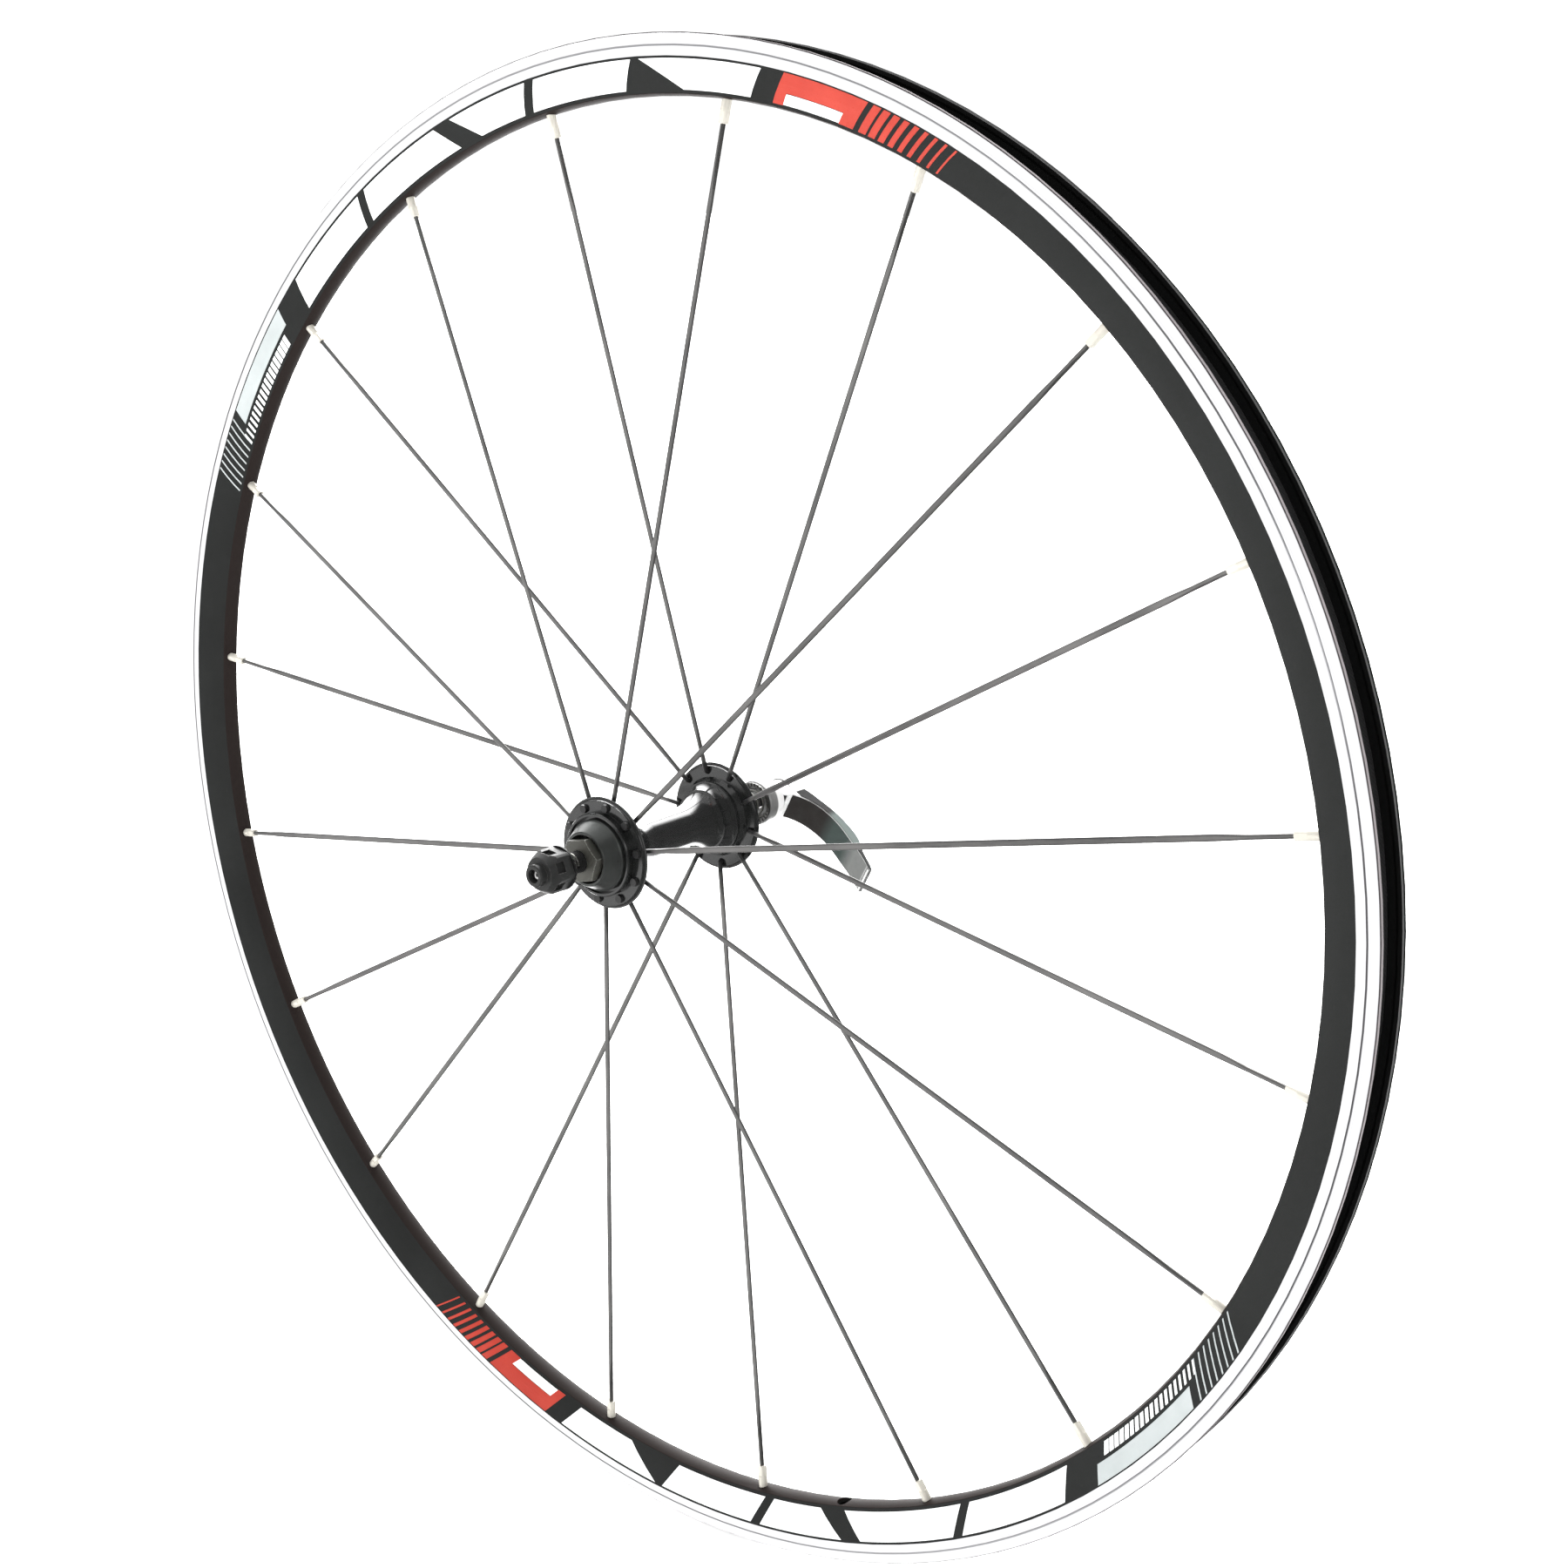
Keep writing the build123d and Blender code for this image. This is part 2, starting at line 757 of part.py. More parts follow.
for (name, _, plane, _), face_out in zip(sides, (nut_face_out, cradle_face_out)):
    with BuildPart() as spring:
        with Locations(plane.offset(spring_foot_out).location):
            add(spring_wire.part)
    spring.part.label = f"conical_spring_{name}"
    export_step(spring.part, f"parts/conical_spring_{name}.step")

    with BuildPart() as clamp_ring:
        with BuildSketch(plane.offset(face_out)):
            Circle(clamp_ring_r)
            Circle(clamp_ring_inner_r, mode=Mode.SUBTRACT)
        extrude(amount=clamp_ring_thickness)
        with BuildSketch(plane.offset(face_out)):
            with PolarLocations(clamp_ring_r, clamp_teeth):
                Rectangle(3 * (clamp_ring_r - clamp_ring_inner_r), clamp_tooth_gap)
        extrude(amount=clamp_tooth_depth, mode=Mode.SUBTRACT)
    clamp_ring.part.label = f"clamp_face_ring_{name}"
    export_step(clamp_ring.part, f"parts/clamp_face_ring_{name}.step")

nut_vertex_angle = nut_flat_angle - 30

with BuildPart() as nut_cap:
    with BuildSketch(nut_side_plane.offset(nut_base_out)):
        RegularPolygon(
            nut_flats / 2, 6, major_radius=False, rotation=nut_vertex_angle
        )
    extrude(amount=nut_tip_out - nut_base_out)
    with BuildSketch(Plane.XY):
        with BuildLine():
            Polyline(
                *on_side(
                    -1,
                    [
                        (0, nut_base_out),
                        (nut_corner_r, nut_base_out),
                        (nut_corner_r, nut_shoulder_out),
                        (nut_neck_r, nut_neck_out),
                        (nut_tip_r, nut_neck_out),
                        (nut_tip_r, nut_tip_out - nut_tip_chamfer),
                        (nut_tip_r - nut_tip_chamfer, nut_tip_out),
                        (0, nut_tip_out),
                    ],
                ),
                close=True,
            )
        make_face()
    revolve(axis=Axis.Y, mode=Mode.INTERSECT)
    with BuildSketch(nut_side_plane.offset(nut_base_out)):
        Circle(spring_recess_r)
    extrude(amount=spring_recess_floor_out - nut_base_out, mode=Mode.SUBTRACT)
    with BuildSketch(nut_side_plane.offset(nut_base_out)):
        Circle(insert_r + pin_fit)
    extrude(amount=insert_outer_out - nut_base_out, mode=Mode.SUBTRACT)
    with BuildSketch(nut_side_plane.offset(nut_base_out)):
        Circle(nut_tip_hole_r)
    extrude(amount=nut_tip_out - nut_base_out, mode=Mode.SUBTRACT)
    for k in range(6):
        angle = nut_flat_angle + 60 * k
        with BuildSketch(radial_plane(angle).offset(nut_flats / 2 - grip_pocket_depth)):
            with Locations((-grip_pocket_out, 0)):
                Rectangle(grip_pocket_length, grip_pocket_width)
        extrude(amount=2 * grip_pocket_depth, mode=Mode.SUBTRACT)
nut_cap.part.label = "nut_cap"
export_step(nut_cap.part, "parts/nut_cap.step")

with BuildPart() as nut_thread_insert:
    with BuildSketch(nut_side_plane.offset(insert_inner_out)):
        Circle(insert_r)
        Circle(insert_bore_r, mode=Mode.SUBTRACT)
    extrude(amount=insert_outer_out - insert_inner_out - face_gap)
nut_thread_insert.part.label = "nut_thread_insert"
export_step(nut_thread_insert.part, "parts/nut_thread_insert.step")

cradle_base_out = cradle_face_out + clamp_ring_thickness + face_gap
trough_out = hinge_out - cam_offset - cam_r - trough_gap + trough_r

with BuildPart() as cam_cradle:
    with BuildSketch(lever_side_plane.offset(cradle_base_out)):
        Circle(cradle_r)
    extrude(amount=cradle_outer_out - cradle_base_out)
    chamfer(cam_cradle.edges().filter_by(GeomType.CIRCLE), cradle_chamfer)
    with BuildSketch(lever_plane):
        with Locations((0, trough_out - hinge_out)):
            Circle(trough_r)
    extrude(amount=2 * cradle_r, both=True, mode=Mode.SUBTRACT)
    with BuildSketch(lever_side_plane.offset(cradle_base_out)):
        Circle(cradle_bore_r)
    extrude(amount=cradle_outer_out - cradle_base_out, mode=Mode.SUBTRACT)
    with BuildSketch(lever_side_plane.offset(cradle_base_out)):
        Circle(spring_recess_r)
    extrude(amount=spring_recess_floor_out - cradle_base_out, mode=Mode.SUBTRACT)
cam_cradle.part.label = "cam_cradle"
export_step(cam_cradle.part, "parts/cam_cradle.step")

# Seen from outside the wheel: x runs along the lever and y along its hinge.
lever_plan = Plane(origin=(0, hinge_out, 0), x_dir=lever_direction, z_dir=(0, -1, 0))

with BuildPart() as qr_lever:
    with BuildSketch(lever_plane):
        with BuildLine():
            Spline(*lever_inner_curve)
            ThreePointArc(lever_inner_curve[-1], lever_tip_point, lever_outer_curve[0])
            Spline(*lever_outer_curve, tangents=lever_outer_tangents)
            Line(lever_outer_curve[-1], lever_inner_curve[0])
        make_face()
        with Locations((0, -cam_offset)):
            Circle(cam_r)
    extrude(amount=2 * lever_half_width, both=True)
    with BuildSketch(lever_plan):
        with BuildLine():
            Polyline(
                (-2 * cam_r, -lever_half_width),
                (lever_tip_s, -lever_tip_half_width),
                (lever_tip_s + cam_r, -lever_tip_half_width),
                (lever_tip_s + cam_r, lever_tip_half_width),
                (lever_tip_s, lever_tip_half_width),
                (-2 * cam_r, lever_half_width),
                close=True,
            )
        make_face()
    extrude(amount=3 * cam_r, both=True, mode=Mode.INTERSECT)
    fillet(qr_lever.edges(), lever_edge)
    with BuildSketch(lever_plan):
        with Locations((fork_web_s - 2 * cam_r, 0)):
            Rectangle(4 * cam_r, 2 * fork_slot_half)
    extrude(amount=3 * cam_r, both=True, mode=Mode.SUBTRACT)
    with BuildSketch(lever_plane):
        Circle(pin_r + pin_fit)
    extrude(amount=2 * lever_half_width, both=True, mode=Mode.SUBTRACT)
qr_lever.part.label = "qr_lever"
export_step(qr_lever.part, "parts/qr_lever.step")
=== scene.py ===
import json
import math

import bmesh
import bpy
from mathutils import Matrix, Vector
from mathutils.bvhtree import BVHTree


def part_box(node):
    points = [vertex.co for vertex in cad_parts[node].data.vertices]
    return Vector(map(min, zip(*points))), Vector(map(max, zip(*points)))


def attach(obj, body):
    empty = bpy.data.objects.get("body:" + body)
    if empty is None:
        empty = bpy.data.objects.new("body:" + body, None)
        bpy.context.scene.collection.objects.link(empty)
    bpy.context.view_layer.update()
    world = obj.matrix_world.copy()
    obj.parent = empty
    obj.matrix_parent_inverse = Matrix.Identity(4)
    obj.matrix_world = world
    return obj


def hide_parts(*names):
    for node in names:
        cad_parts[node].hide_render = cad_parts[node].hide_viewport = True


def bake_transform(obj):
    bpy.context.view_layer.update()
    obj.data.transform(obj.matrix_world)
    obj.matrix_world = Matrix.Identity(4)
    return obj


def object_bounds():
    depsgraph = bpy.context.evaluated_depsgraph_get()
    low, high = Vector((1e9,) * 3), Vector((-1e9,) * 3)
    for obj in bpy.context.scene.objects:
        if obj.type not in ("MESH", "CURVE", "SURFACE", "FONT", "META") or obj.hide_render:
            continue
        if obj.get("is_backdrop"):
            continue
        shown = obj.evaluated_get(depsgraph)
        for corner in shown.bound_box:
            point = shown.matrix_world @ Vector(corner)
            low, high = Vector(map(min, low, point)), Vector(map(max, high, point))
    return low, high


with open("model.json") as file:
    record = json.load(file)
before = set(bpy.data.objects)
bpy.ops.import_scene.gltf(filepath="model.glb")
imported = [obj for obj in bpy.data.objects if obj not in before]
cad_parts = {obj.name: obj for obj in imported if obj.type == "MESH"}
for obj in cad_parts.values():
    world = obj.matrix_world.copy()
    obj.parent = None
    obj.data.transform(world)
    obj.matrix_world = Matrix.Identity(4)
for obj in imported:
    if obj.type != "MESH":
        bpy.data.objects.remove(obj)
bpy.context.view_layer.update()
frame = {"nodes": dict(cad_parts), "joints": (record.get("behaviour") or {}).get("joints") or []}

nodes = frame["nodes"]
scene = bpy.context.scene

# The frame is in metres. The wheel spins about Y, and its nut side faces -Y.
MM = 0.001
SIDES = (("nut_side", -1), ("lever_side", 1))
SPIN_AXIS = Vector((0, 1, 0))


# ------------------------------------------------------------ node graphs

def grey(value):
    return (value, value, value)


class Graph:
    """A material's node tree, with short calls for the nodes that the materials share."""

    SOCKETS = {
        "color": "Base Color", "metallic": "Metallic", "roughness": "Roughness", "normal": "Normal",
        "specular": "Specular IOR Level", "coat": "Coat Weight", "coat_roughness": "Coat Roughness",
        "emission": "Emission Color", "emission_strength": "Emission Strength",
    }

    def __init__(self, name):
        self.material = bpy.data.materials.new(name)
        self.material.use_nodes = True
        self.tree = self.material.node_tree
        self.tree.nodes.clear()
        output = self.tree.nodes.new("ShaderNodeOutputMaterial")
        self.shader = self.tree.nodes.new("ShaderNodeBsdfPrincipled")
        self.tree.links.new(self.shader.outputs[0], output.inputs[0])
        coords = self.tree.nodes.new("ShaderNodeTexCoord")
        self.place = coords.outputs["Object"]
        self.facing = coords.outputs["Normal"]
        split = self.tree.nodes.new("ShaderNodeSeparateXYZ")
        self.tree.links.new(self.place, split.inputs[0])
        self.x, self.y, self.z = split.outputs

    def put(self, value, socket):
        """Links a socket to another, or sets it to a number, a vector or a colour without its alpha."""
        if isinstance(value, bpy.types.NodeSocket):
            self.tree.links.new(value, socket)
        elif socket.type == "RGBA":
            socket.default_value = (*value, 1.0)
        else:
            socket.default_value = value

    def math(self, operation, *values):
        node = self.tree.nodes.new("ShaderNodeMath")
        node.operation = operation
        for value, socket in zip(values, node.inputs):
            self.put(value, socket)
        return node.outputs[0]

    def product(self, first, *others):
        for other in others:
            first = self.math("MULTIPLY", first, other)
        return first

    def largest(self, first, *others):
        for other in others:
            first = self.math("MAXIMUM", first, other)
        return first

    def size(self, value):
        return self.math("ABSOLUTE", value)

    def opposite(self, mask):
        return self.math("SUBTRACT", 1.0, mask)

    def average(self, first, second, share=0.5):
        """A weighted mean, where share is the second value's weight."""
        return self.math("ADD", self.product(first, 1.0 - share), self.product(second, share))

    def vector(self, x, y, z):
        node = self.tree.nodes.new("ShaderNodeCombineXYZ")
        for value, socket in zip((x, y, z), node.inputs):
            self.put(value, socket)
        return node.outputs[0]

    def dot(self, vector, direction):
        node = self.tree.nodes.new("ShaderNodeVectorMath")
        node.operation = "DOT_PRODUCT"
        self.put(vector, node.inputs[0])
        self.put(direction, node.inputs[1])
        return node.outputs["Value"]

    def radius(self):
        """Distance from the wheel's axis."""
        return self.math("SQRT", self.math("ADD", self.product(self.x, self.x), self.product(self.z, self.z)))

    def angle(self):
        """Angle about the wheel's axis."""
        return self.math("ARCTAN2", self.z, self.x)

    def noise(self, scale, detail=3.0, rough=0.55, vector=None):
        node = self.tree.nodes.new("ShaderNodeTexNoise")
        self.put(self.place if vector is None else vector, node.inputs["Vector"])
        node.inputs["Scale"].default_value = scale
        node.inputs["Detail"].default_value = detail
        node.inputs["Roughness"].default_value = rough
        return node.outputs[0]

    def ramp(self, value, low, high, to_low=0.0, to_high=1.0):
        node = self.tree.nodes.new("ShaderNodeMapRange")
        for number, socket in zip((value, low, high, to_low, to_high), node.inputs):
            self.put(number, socket)
        return node.outputs[0]

    def above(self, value, start, blur):
        """A mask that rises from 0 to 1 while the value goes up from start, over a width of blur."""
        return self.ramp(value, start, start + blur)

    def below(self, value, start, blur):
        """A mask that rises from 0 to 1 while the value goes down from start, over a width of blur."""
        return self.ramp(value, start, start - blur)

    def vary(self, noise, low, high, spread=0.2):
        """A number between low and high that follows a noise, whose own values lie about a half."""
        return self.ramp(noise, 0.5 - spread, 0.5 + spread, low, high)

    def mix(self, factor, a, b):
        """A colour between a and b."""
        node = self.tree.nodes.new("ShaderNodeMix")
        node.data_type = "RGBA"
        for value, socket in zip((factor, a, b), (node.inputs[0], node.inputs[6], node.inputs[7])):
            self.put(value, socket)
        return node.outputs[2]

    def mottle(self, noise, dark, light, spread=0.2):
        """A colour between dark and light that follows a noise."""
        return self.mix(self.vary(noise, 0.0, 1.0, spread), dark, light)

    def blend(self, factor, a, b):
        """A number between a and b."""
        node = self.tree.nodes.new("ShaderNodeMix")
        for value, socket in zip((factor, a, b), (node.inputs[0], node.inputs[2], node.inputs[3])):
            self.put(value, socket)
        return node.outputs[0]

    def bump(self, height, distance, strength=0.6, normal=None):
        node = self.tree.nodes.new("ShaderNodeBump")
        node.inputs["Strength"].default_value = strength
        node.inputs["Distance"].default_value = distance
        self.put(height, node.inputs["Height"])
        if normal is not None:
            self.put(normal, node.inputs["Normal"])
        return node.outputs[0]

    def soft_edges(self, width):
        """A normal that rounds the edges off."""
        node = self.tree.nodes.new("ShaderNodeBevel")
        node.samples = 4
        node.inputs["Radius"].default_value = width
        return node.outputs[0]

    def finish(self, **values):
        """Sets the shader's sockets and gives the material."""
        for key, value in values.items():
            self.put(value, self.shader.inputs[self.SOCKETS[key]])
        return self.material


RINGS_PER_METRE = 5200.0
RING_DRIFT = 0.02 * MM


def turned_rings(g):
    """Fine rings about the spin axis, left by a lathe. They run outwards on a face and along a barrel."""
    on_face = g.above(g.size(g.dot(g.facing, SPIN_AXIS)), 0.25, 0.2)
    profile = g.blend(on_face, g.y, g.radius())
    ring_place = g.vector(profile, 0.0, g.product(g.angle(), RING_DRIFT))
    return g.noise(RINGS_PER_METRE, detail=4.0, rough=0.7, vector=ring_place)


def metal(name, color, roughness, spread=0.12, rings=0.0, edge=0.0, edge_color=None,
          metallic=1.0, grain=0.02 * MM, coat=0.0, specular=0.5):
    """A metal or hard painted surface: mottled colour, uneven gloss, lathe rings or fine grain, and edges
    whose colour stands for wear and for a painted highlight.

    spread is how far the colour varies, rings and grain are depths, and edge is the width of the soft edges.
    """
    g = Graph(name)
    patches = g.noise(90.0, detail=5.0)
    fine = g.noise(2600.0, detail=2.0)
    texture = turned_rings(g) if rings else fine
    shade = g.mottle(patches, [c * (1 - spread) for c in color], [c * (1 + spread) for c in color])
    unevenness = roughness * 1.6 * spread
    gloss = g.vary(g.average(patches, texture), roughness - unevenness, roughness + unevenness)
    rounded = g.soft_edges(edge) if edge else None
    # The edge colour is wear and also a painted highlight along the edges.
    if edge_color is not None:
        flat_normal = g.tree.nodes.new("ShaderNodeNewGeometry").outputs["Normal"]
        at_edge = g.below(g.dot(rounded, flat_normal), 0.98, 0.18)
        wear_and_edge_highlight = g.product(at_edge, g.ramp(fine, 0.35, 0.6), 0.8)
        shade = g.mix(wear_and_edge_highlight, shade, edge_color)
    return g.finish(color=shade, metallic=metallic, roughness=gloss, specular=specular, coat=coat,
                    coat_roughness=0.08, normal=g.bump(texture, rings if rings else grain, normal=rounded))


def dress(material, *names):
    for name in names:
        mesh = nodes[name].data
        mesh.materials.clear()
        mesh.materials.append(material)


# ------------------------------------------------------------ rim

# Radii and half widths at which the rim's finish changes, from its outer edge inwards.
RIM_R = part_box("rim")[1].x
RIM_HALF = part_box("rim")[1].y
LIP_R = RIM_R - 0.4 * MM
WEAR_GROOVE_R = RIM_R - 4.6 * MM
CHAMFER_INNER_R = RIM_R - 7.0 * MM
WELL_INNER_R = RIM_R - 7.4 * MM
TRACK_INNER_R = RIM_R - 8.5 * MM
BED_R = RIM_R - 21.4 * MM
CHAMFER_HALF = RIM_HALF - 0.45 * MM
WELL_HALF = RIM_HALF - 0.75 * MM
HOOK_HALF = RIM_HALF - 1.77 * MM
SHARP = 0.1 * MM


def rim_material():
    """Black anodised sidewalls, bed and well, silver brake tracks with a wear groove, and lips in painted
    light: lit grey on the nut side, painted shade near black on the lever side.
    """
    g = Graph("rim_anodised_and_machined")
    r = g.radius()
    side = g.size(g.y)

    flat = g.above(side, RIM_HALF - 0.03 * MM, 0.02 * MM)
    chamfer = g.product(g.above(side, CHAMFER_HALF, SHARP), g.above(r, CHAMFER_INNER_R, SHARP))
    on_track = g.product(g.largest(flat, chamfer), g.above(r, TRACK_INNER_R, SHARP))
    on_lip = g.above(r, LIP_R - SHARP / 2, SHARP / 2)
    on_bed = g.below(r, BED_R, 0.3 * MM)
    in_well = g.product(g.above(r, WELL_INNER_R, 0.4 * MM), g.below(side, WELL_HALF, 0.2 * MM))
    in_groove = g.below(g.size(g.math("SUBTRACT", r, WEAR_GROOVE_R)), 0.42 * MM, 0.12 * MM)
    bare = g.largest(on_track, on_lip)

    ring_place = g.vector(r, g.y, g.product(g.angle(), 0.06 * MM))
    rings = g.noise(9000.0, detail=5.0, rough=0.75, vector=ring_place)
    bands = g.noise(700.0, detail=2.0, vector=ring_place)
    broad = g.noise(14.0, detail=4.0)
    fine = g.noise(2400.0)
    specks = g.noise(420.0, detail=4.0, rough=0.7)

    silver = g.mix(g.ramp(rings, 0.3, 0.75), (0.58, 0.58, 0.59), (0.86, 0.86, 0.87))
    silver = g.mix(g.product(in_groove, on_track, 0.45), silver, (0.22, 0.22, 0.23))

    # The same lip is painted in two lights: lit grey on the nut side, with a painted shade line at its corner
    # and hook, and painted shade, near black, on the lever side, with a painted highlight along its hook.
    at_hook = g.below(side, HOOK_HALF, 0.08 * MM)
    at_corner = g.largest(g.above(side, CHAMFER_HALF + 0.02 * MM, SHARP), at_hook)
    lip_grey = g.mottle(broad, (0.19, 0.175, 0.18), (0.26, 0.24, 0.245), spread=0.15)
    lit_nut_side_lip = g.mix(at_corner, lip_grey, (0.05, 0.045, 0.047))
    shaded_lever_side_lip = g.mix(at_hook, (0.006, 0.007, 0.007), grey(0.08))
    lip = g.mix(g.above(g.y, 0.0, MM), lit_nut_side_lip, shaded_lever_side_lip)

    black = g.mottle(broad, (0.0105, 0.0112, 0.0108), (0.0165, 0.0175, 0.0170))
    black = g.mix(g.ramp(specks, 0.62, 0.80, 0.0, 0.30), black, (0.027, 0.028, 0.027))
    black = g.mix(in_well, black, grey(0.004))
    black = g.mix(on_bed, black, (0.016, 0.012, 0.011))

    black_gloss = g.vary(g.average(fine, broad), 0.50, 0.64, spread=0.15)
    silver_gloss = g.vary(g.average(rings, bands, share=0.4), 0.22, 0.42)
    gloss = g.blend(on_lip, g.blend(bare, black_gloss, silver_gloss), 0.8)
    shine = g.blend(on_bed, g.blend(on_track, 0.13, 0.4), 0.05)
    height = g.blend(bare, g.product(fine, 0.25), rings)
    return g.finish(color=g.mix(bare, black, g.mix(on_lip, silver, lip)), roughness=gloss,
                    metallic=g.blend(on_lip, on_track, 0.0), specular=g.blend(on_lip, shine, 0.02),
                    normal=g.bump(height, 0.012 * MM, strength=0.7))


def rim_tape_material():
    g = Graph("woven_rim_tape")
    tape_r = 311.0 * MM
    weave = g.tree.nodes.new("ShaderNodeTexWave")
    weave.bands_direction = "DIAGONAL"
    weave.inputs["Scale"].default_value = 420.0
    weave.inputs["Distortion"].default_value = 0.4
    g.put(g.vector(g.product(g.angle(), tape_r), g.y, 0.0), weave.inputs["Vector"])
    threads = weave.outputs["Fac"]
    return g.finish(color=g.mix(threads, grey(0.006), (0.016, 0.016, 0.017)),
                    roughness=g.ramp(threads, 0.0, 1.0, 0.6, 0.85), normal=g.bump(threads, 0.08 * MM))


dress(rim_material(), "rim")
dress(rim_tape_material(), "rim_tape")
dress(metal("mill_aluminium", (0.72, 0.72, 0.73), 0.38), "rim_joint_sleeve")


# ------------------------------------------------------------ spokes and nipples

FLANGE_SHADE_R = 23.6 * MM
FLANGE_SHADE_WIDTH = 2.6 * MM


def spoke_material():
    """Drawn stainless steel with streaks along each spoke, and painted shade where the spoke enters the
    flange.
    """
    g = Graph("drawn_stainless_spokes")
    r = g.radius()
    streak_place = g.vector(g.product(r, 40.0), g.product(g.angle(), 260.0), g.product(g.y, 900.0))
    streaks = g.noise(1.0, detail=5.0, rough=0.7, vector=streak_place)
    patches = g.noise(26.0)
    tone = g.mottle(streaks, grey(0.082), (0.165, 0.162, 0.158))
    tone = g.mix(g.ramp(patches, 0.4, 0.75, 0.0, 0.6), tone, (0.235, 0.230, 0.224))
    # Painted shade: the spoke turns dark and less metallic inside FLANGE_SHADE_R, where it enters the flange.
    clear_of_flange_shade = g.above(r, FLANGE_SHADE_R, FLANGE_SHADE_WIDTH)
    return g.finish(color=g.mix(clear_of_flange_shade, grey(0.012), tone),
                    metallic=g.blend(clear_of_flange_shade, 0.2, 0.9), roughness=g.vary(streaks, 0.28, 0.46),
                    normal=g.bump(streaks, 0.01 * MM, strength=0.5))


dress(spoke_material(), "spokes_nut_side", "spokes_lever_side")
nipple_brass = metal("nickel_plated_brass", (0.60, 0.575, 0.51), 0.34, spread=0.06,
                     edge=0.15 * MM, metallic=0.25)
dress(nipple_brass, "nipples")


# ------------------------------------------------------------ hub, bearings, axle and nut

hub_black = metal("gloss_black_anodised_hub", (0.0085, 0.0090, 0.0088), 0.17, spread=0.10, rings=0.0012 * MM,
                  edge=0.25 * MM, edge_color=(0.03, 0.03, 0.031), metallic=0.0, coat=0.25)
dark_cap = metal("dark_grey_dust_cap", (0.046, 0.049, 0.047), 0.32, spread=0.16, rings=0.003 * MM,
                 edge=0.2 * MM, edge_color=grey(0.13), metallic=0.65)
# Its pale edge colour is a painted highlight along the edges of the washers and locknuts.
black_oxide = metal("black_oxide_steel", (0.070, 0.069, 0.060), 0.36, spread=0.22,
                    edge=0.6 * MM, edge_color=(0.55, 0.57, 0.53), metallic=0.5)
thread_black = metal("black_oxide_thread", grey(0.012), 0.45, spread=0.25, metallic=0.3, specular=0.3)
ground_steel = metal("ground_bearing_steel", (0.56, 0.56, 0.57), 0.22, rings=0.003 * MM, edge=0.1 * MM)
seal_rubber = metal("moulded_seal_rubber", grey(0.012), 0.62, metallic=0.0, grain=0.04 * MM)
turned_steel = metal("turned_rod_steel", (0.50, 0.50, 0.49), 0.28, rings=0.004 * MM, edge=0.12 * MM)
spring_steel = metal("drawn_spring_steel", (0.30, 0.30, 0.28), 0.30)
clamp_steel = metal("toothed_clamp_steel", (0.20, 0.20, 0.195), 0.40, rings=0.006 * MM, edge=0.1 * MM)
# Its lighter edge colour is a painted highlight along the nut's edges.
moulded_black = metal("black_moulded_nut", (0.017, 0.0175, 0.017), 0.46, spread=0.25,
                      edge=0.5 * MM, edge_color=(0.085, 0.085, 0.082), metallic=0.0, specular=0.28)

dress(hub_black, "hub_shell")
for side_name, _ in SIDES:
    dress(dark_cap, f"dust_cap_{side_name}")
    dress(black_oxide, f"lock_washer_{side_name}", f"locknut_{side_name}")
    dress(seal_rubber, f"bearing_seal_{side_name}")
    for piece in ("bearing_cup", "bearing_cone", "bearing_balls", "ball_cage"):
        dress(ground_steel, f"{piece}_{side_name}")
dress(thread_black, "clamp_face_ring_nut_side")
dress(clamp_steel, "clamp_face_ring_lever_side")
dress(turned_steel, "lever_barrel_pin", "nut_thread_insert")
dress(moulded_black, "nut_cap")


# ------------------------------------------------------------ cradle and lever

CRADLE_ARMS_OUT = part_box("cam_cradle")[1].y - 4.5 * MM
SOFT_EDGE = 0.3 * MM

hinge = next(joint for joint in frame["joints"] if joint["name"] == "lever_swing")
hinge_axis = Vector(hinge["axis"]).normalized()
hinge_point = Vector(hinge["pos_m"])
lever_direction = SPIN_AXIS.cross(hinge_axis).normalized()


def facing_outward(g):
    """A mask for the faces on the lever's side that look away from the wheel."""
    return g.above(g.dot(g.facing, SPIN_AXIS), 0.25, 0.2)


def cradle_material():
    """Satin aluminium, with a painted highlight on the arm flanks and painted shade on the faces that look
    away from the wheel.
    """
    g = Graph("satin_aluminium_cradle")
    cloudy = g.noise(110.0, detail=5.0)
    outward = facing_outward(g)
    # Painted highlight: the arm flanks are near white and more metallic.
    arm_flank_highlight = g.product(g.above(g.y, CRADLE_ARMS_OUT - 0.4 * MM, 0.4 * MM), g.opposite(outward))
    body_grey = g.mottle(cloudy, (0.27, 0.27, 0.265), (0.38, 0.38, 0.375))
    # Painted shade: the faces that look away from the wheel are darkened and made less metallic.
    body_grey = g.mix(g.product(outward, 0.6), body_grey, grey(0.12))
    return g.finish(color=g.mix(arm_flank_highlight, body_grey, (0.80, 0.80, 0.79)),
                    metallic=g.math("SUBTRACT", g.blend(arm_flank_highlight, 0.75, 0.3), g.product(outward, 0.35)),
                    roughness=g.vary(cloudy, 0.30, 0.42),
                    normal=g.bump(turned_rings(g), 0.003 * MM, normal=g.soft_edges(SOFT_EDGE)))


